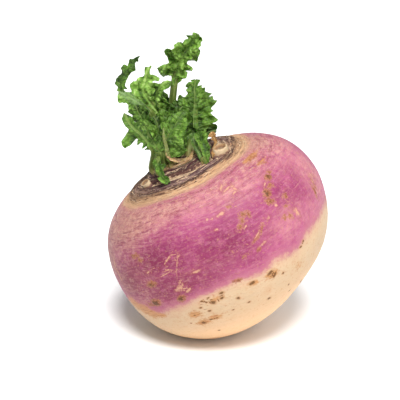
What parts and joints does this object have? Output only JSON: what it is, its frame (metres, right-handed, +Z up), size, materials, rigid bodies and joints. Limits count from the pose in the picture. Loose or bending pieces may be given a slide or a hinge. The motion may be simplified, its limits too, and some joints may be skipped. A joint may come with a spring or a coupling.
{
  "type": "turnip",
  "caption": "Purple-top turnip root leaning to one side on a small flat spot, with a tuft of short crinkled green leaves on its ringed crown.",
  "frame": {"origin": "middle of the small flat spot that the turnip rests on", "axes": "+Z up from the surface it rests on; the crown leans 25 degrees towards -X; -Y is the side that faces the viewer"},
  "size_m": [0.0864, 0.0894, 0.1191],
  "materials": {
    "skin": "satin",
    "leaf": "satin",
    "dry_leaf": "matte",
    "cut_stalk": "matte"
  },
  "bodies": {
    "root": {"root": "skin", "leaf_tall": "leaf", "leaf_right": "leaf", "leaf_front": "leaf", "leaf_front_left": "leaf", "leaf_upper_left": "leaf", "leaf_curled_left": "leaf", "leaf_low_left": "leaf", "leaf_drooping": "leaf", "leaf_young_right": "leaf", "leaf_back_left": "leaf", "leaf_back_right": "leaf", "leaf_back": "leaf", "leaf_inner": "leaf", "dry_leaf_right": "dry_leaf", "dry_leaf_back": "dry_leaf", "cut_stalk_right": "cut_stalk", "cut_stalk_back": "cut_stalk", "cut_stalk_left": "cut_stalk"}
  },
  "joints": []
}
